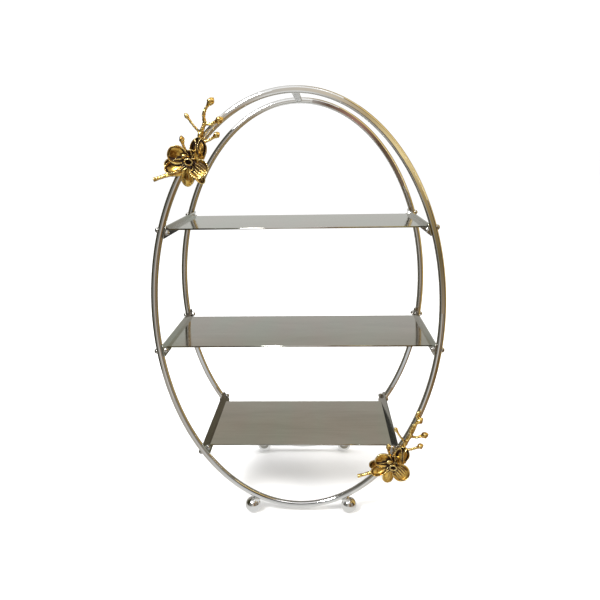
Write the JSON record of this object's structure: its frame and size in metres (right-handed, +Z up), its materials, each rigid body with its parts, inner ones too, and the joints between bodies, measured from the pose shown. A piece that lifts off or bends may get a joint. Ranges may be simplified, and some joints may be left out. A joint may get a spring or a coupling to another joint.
{
  "type": "tiered cake stand",
  "caption": "Oval free-standing stand: two chrome hoops carry stacked flat shelves between them on ball feet, with cast orchid sprays on the front hoop",
  "frame": {"origin": "centre of the stand's footprint box, on the surface that the ball feet stand on", "axes": "+Z up, the front hoop and the sprays face -Y, the hoops are wide along X"},
  "size_m": [0.3006, 0.168, 0.4479],
  "materials": {
    "hoop_chrome": "bright chrome plate",
    "strap_steel": "satin chrome plate",
    "shelf_steel": "polished steel sheet with a faint grain",
    "plate_steel": "polished steel sheet",
    "screw_chrome": "bright chrome plate",
    "nut_chrome": "bright chrome plate",
    "foot_chrome": "bright chrome plate",
    "stud_steel": "plain steel thread",
    "cast_gold": "cast metal, antique gold plate, dark brown in the hollows"
  },
  "bodies": {
    "root": {"front_hoop": "hoop_chrome", "back_hoop": "hoop_chrome", "top_strap": "strap_steel", "top_shelf": "shelf_steel", "top_left_plate": "plate_steel", "top_right_plate": "plate_steel", "top_shelf_screws": "screw_chrome", "top_shelf_nuts": "nut_chrome", "middle_shelf": "shelf_steel", "middle_left_plate": "plate_steel", "middle_right_plate": "plate_steel", "middle_shelf_screws": "screw_chrome", "middle_shelf_nuts": "nut_chrome", "bottom_shelf": "shelf_steel", "bottom_left_plate": "plate_steel", "bottom_right_plate": "plate_steel", "bottom_shelf_screws": "screw_chrome", "bottom_shelf_nuts": "nut_chrome", "foot_front_left": "foot_chrome", "foot_front_right": "foot_chrome", "foot_rear_left": "foot_chrome", "foot_rear_right": "foot_chrome", "foot_studs": "stud_steel", "upper_spray_branch": "cast_gold", "upper_spray_flower": "cast_gold", "upper_spray_bloom": "cast_gold", "upper_spray_stud": "stud_steel", "upper_spray_nut": "nut_chrome", "lower_spray_branch": "cast_gold", "lower_spray_flower": "cast_gold", "lower_spray_bloom": "cast_gold", "lower_spray_stud": "stud_steel", "lower_spray_nut": "nut_chrome"}
  },
  "joints": []
}
